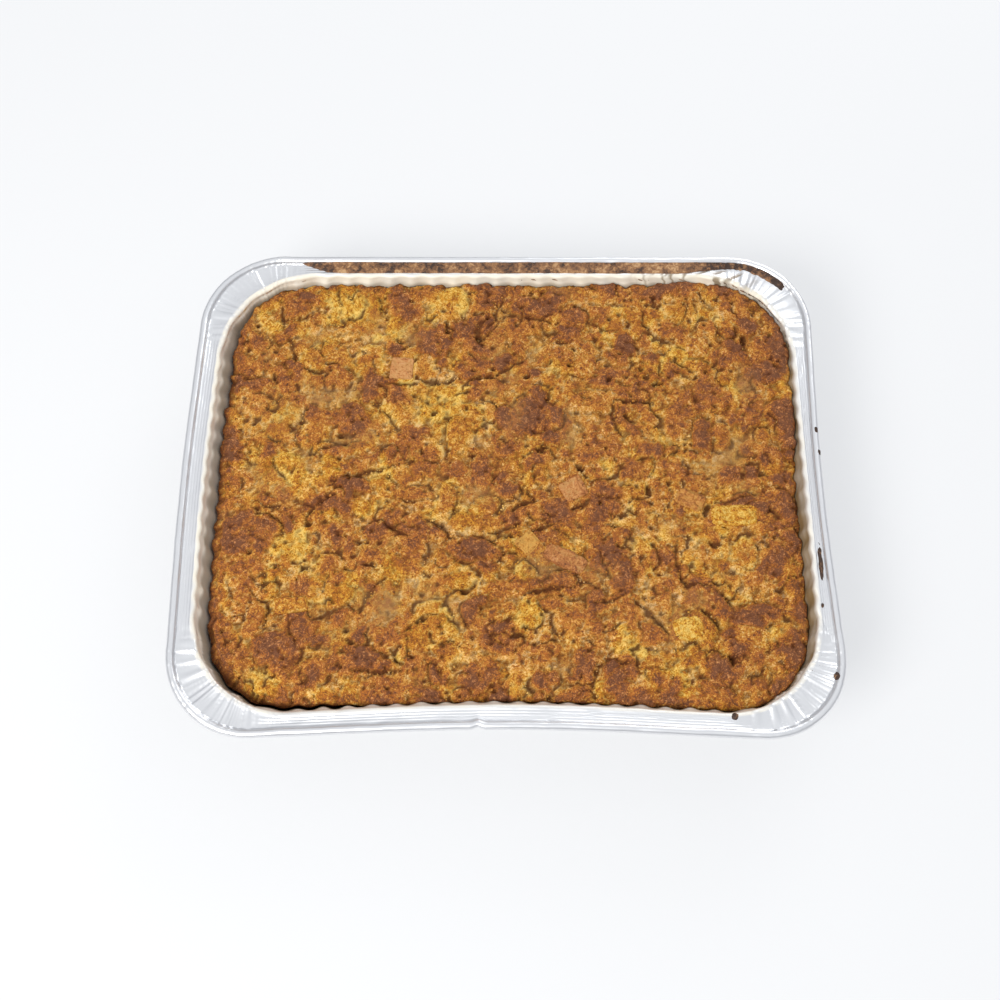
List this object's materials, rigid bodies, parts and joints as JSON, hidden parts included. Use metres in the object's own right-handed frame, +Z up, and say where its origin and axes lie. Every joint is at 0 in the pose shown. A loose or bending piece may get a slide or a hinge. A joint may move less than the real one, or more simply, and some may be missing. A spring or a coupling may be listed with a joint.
{
  "type": "bread pudding in a foil pan",
  "caption": "Baked bread pudding in a rectangular aluminium foil tray with a rolled rim and fluted walls, browned crust with bread cubes poking out.",
  "frame": {"origin": "centre of the part's box, on the plane the pan's underside rests on", "axes": "+X along the pan's long side to the right, +Y towards its back, +Z up out of its mouth"},
  "size_m": [0.3254, 0.2628, 0.0554],
  "materials": {
    "aluminium_foil": "bright embossed foil, creased at the corners",
    "baked_pudding": "baked bread and custard, browned, rough and open, softly moist",
    "toasted_bread": "custard-soaked bread, lightly toasted"
  },
  "bodies": {
    "root": {"foil_pan": "aluminium_foil", "pudding": "baked_pudding", "pale_bread_cube": "toasted_bread", "soft_bread_block": "toasted_bread", "tipped_bread_cube": "toasted_bread", "diamond_bread_cube": "toasted_bread", "long_bread_block": "toasted_bread", "ridged_bread_stick": "toasted_bread", "tan_bread_block": "toasted_bread", "golden_bread_block": "toasted_bread", "yellow_bread_knob": "toasted_bread", "orange_bread_block": "toasted_bread", "round_bread_knob": "toasted_bread"}
  },
  "joints": []
}
